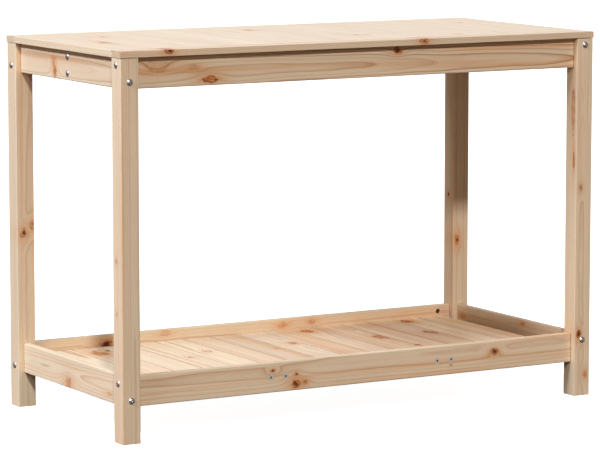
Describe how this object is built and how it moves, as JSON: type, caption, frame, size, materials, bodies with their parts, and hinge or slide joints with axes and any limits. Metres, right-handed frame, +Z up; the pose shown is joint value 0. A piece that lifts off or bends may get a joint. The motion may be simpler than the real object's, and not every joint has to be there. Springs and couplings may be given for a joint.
{
  "type": "potting bench",
  "caption": "Rectangular pine potting bench with square legs, a boarded worktop on bolted rails and a slatted lower shelf inside raised rails.",
  "frame": {"origin": "on the floor under the middle of the bench", "axes": "+X along the length of the bench, +Y towards its back, +Z up"},
  "size_m": [1.0844, 0.5044, 0.75],
  "materials": {
    "pine_legs": "planed bare pine with knots, satin",
    "pine_rails": "planed bare pine with knots, satin",
    "pine_worktop": "planed and sanded bare pine, satin",
    "pine_shelf": "planed bare pine with knots, satin",
    "beech_dowels": "bare beech",
    "bolt_metal": "nickel plated, bright",
    "zinc_steel": "bright zinc plated, satin"
  },
  "bodies": {
    "root": {"leg_front_left": "pine_legs", "leg_front_right": "pine_legs", "leg_back_right": "pine_legs", "leg_back_left": "pine_legs", "upper_front_rail": "pine_rails", "upper_right_rail": "pine_rails", "upper_back_rail": "pine_rails", "upper_left_rail": "pine_rails", "lower_front_rail": "pine_rails", "lower_right_rail": "pine_rails", "lower_back_rail": "pine_rails", "lower_left_rail": "pine_rails", "worktop_beam": "pine_rails", "worktop_front_lath": "pine_worktop", "worktop_back_lath": "pine_worktop", "worktop_plank_01": "pine_worktop", "worktop_plank_02": "pine_worktop", "worktop_plank_03": "pine_worktop", "worktop_plank_04": "pine_worktop", "worktop_plank_05": "pine_worktop", "worktop_plank_06": "pine_worktop", "worktop_plank_07": "pine_worktop", "worktop_plank_08": "pine_worktop", "worktop_plank_09": "pine_worktop", "worktop_plank_10": "pine_worktop", "worktop_plank_11": "pine_worktop", "worktop_plank_12": "pine_worktop", "worktop_plank_13": "pine_worktop", "worktop_plank_14": "pine_worktop", "worktop_plank_15": "pine_worktop", "worktop_plank_16": "pine_worktop", "worktop_plank_17": "pine_worktop", "worktop_plank_18": "pine_worktop", "shelf_slat_01": "pine_shelf", "shelf_slat_02": "pine_shelf", "shelf_slat_03": "pine_shelf", "shelf_slat_04": "pine_shelf", "shelf_slat_05": "pine_shelf", "shelf_slat_06": "pine_shelf", "shelf_slat_07": "pine_shelf", "shelf_slat_08": "pine_shelf", "shelf_slat_09": "pine_shelf", "shelf_slat_10": "pine_shelf", "shelf_slat_11": "pine_shelf", "shelf_slat_12": "pine_shelf", "shelf_slat_13": "pine_shelf", "shelf_slat_14": "pine_shelf", "shelf_slat_15": "pine_shelf", "shelf_front_batten": "pine_rails", "shelf_back_batten": "pine_rails", "leg_bolts": "bolt_metal", "leg_barrel_nuts": "bolt_metal", "rail_dowels": "beech_dowels", "beam_bolts": "bolt_metal", "beam_barrel_nuts": "bolt_metal", "shelf_screws": "zinc_steel", "batten_screws": "zinc_steel", "worktop_brackets": "zinc_steel", "bracket_screws": "zinc_steel"}
  },
  "joints": []
}
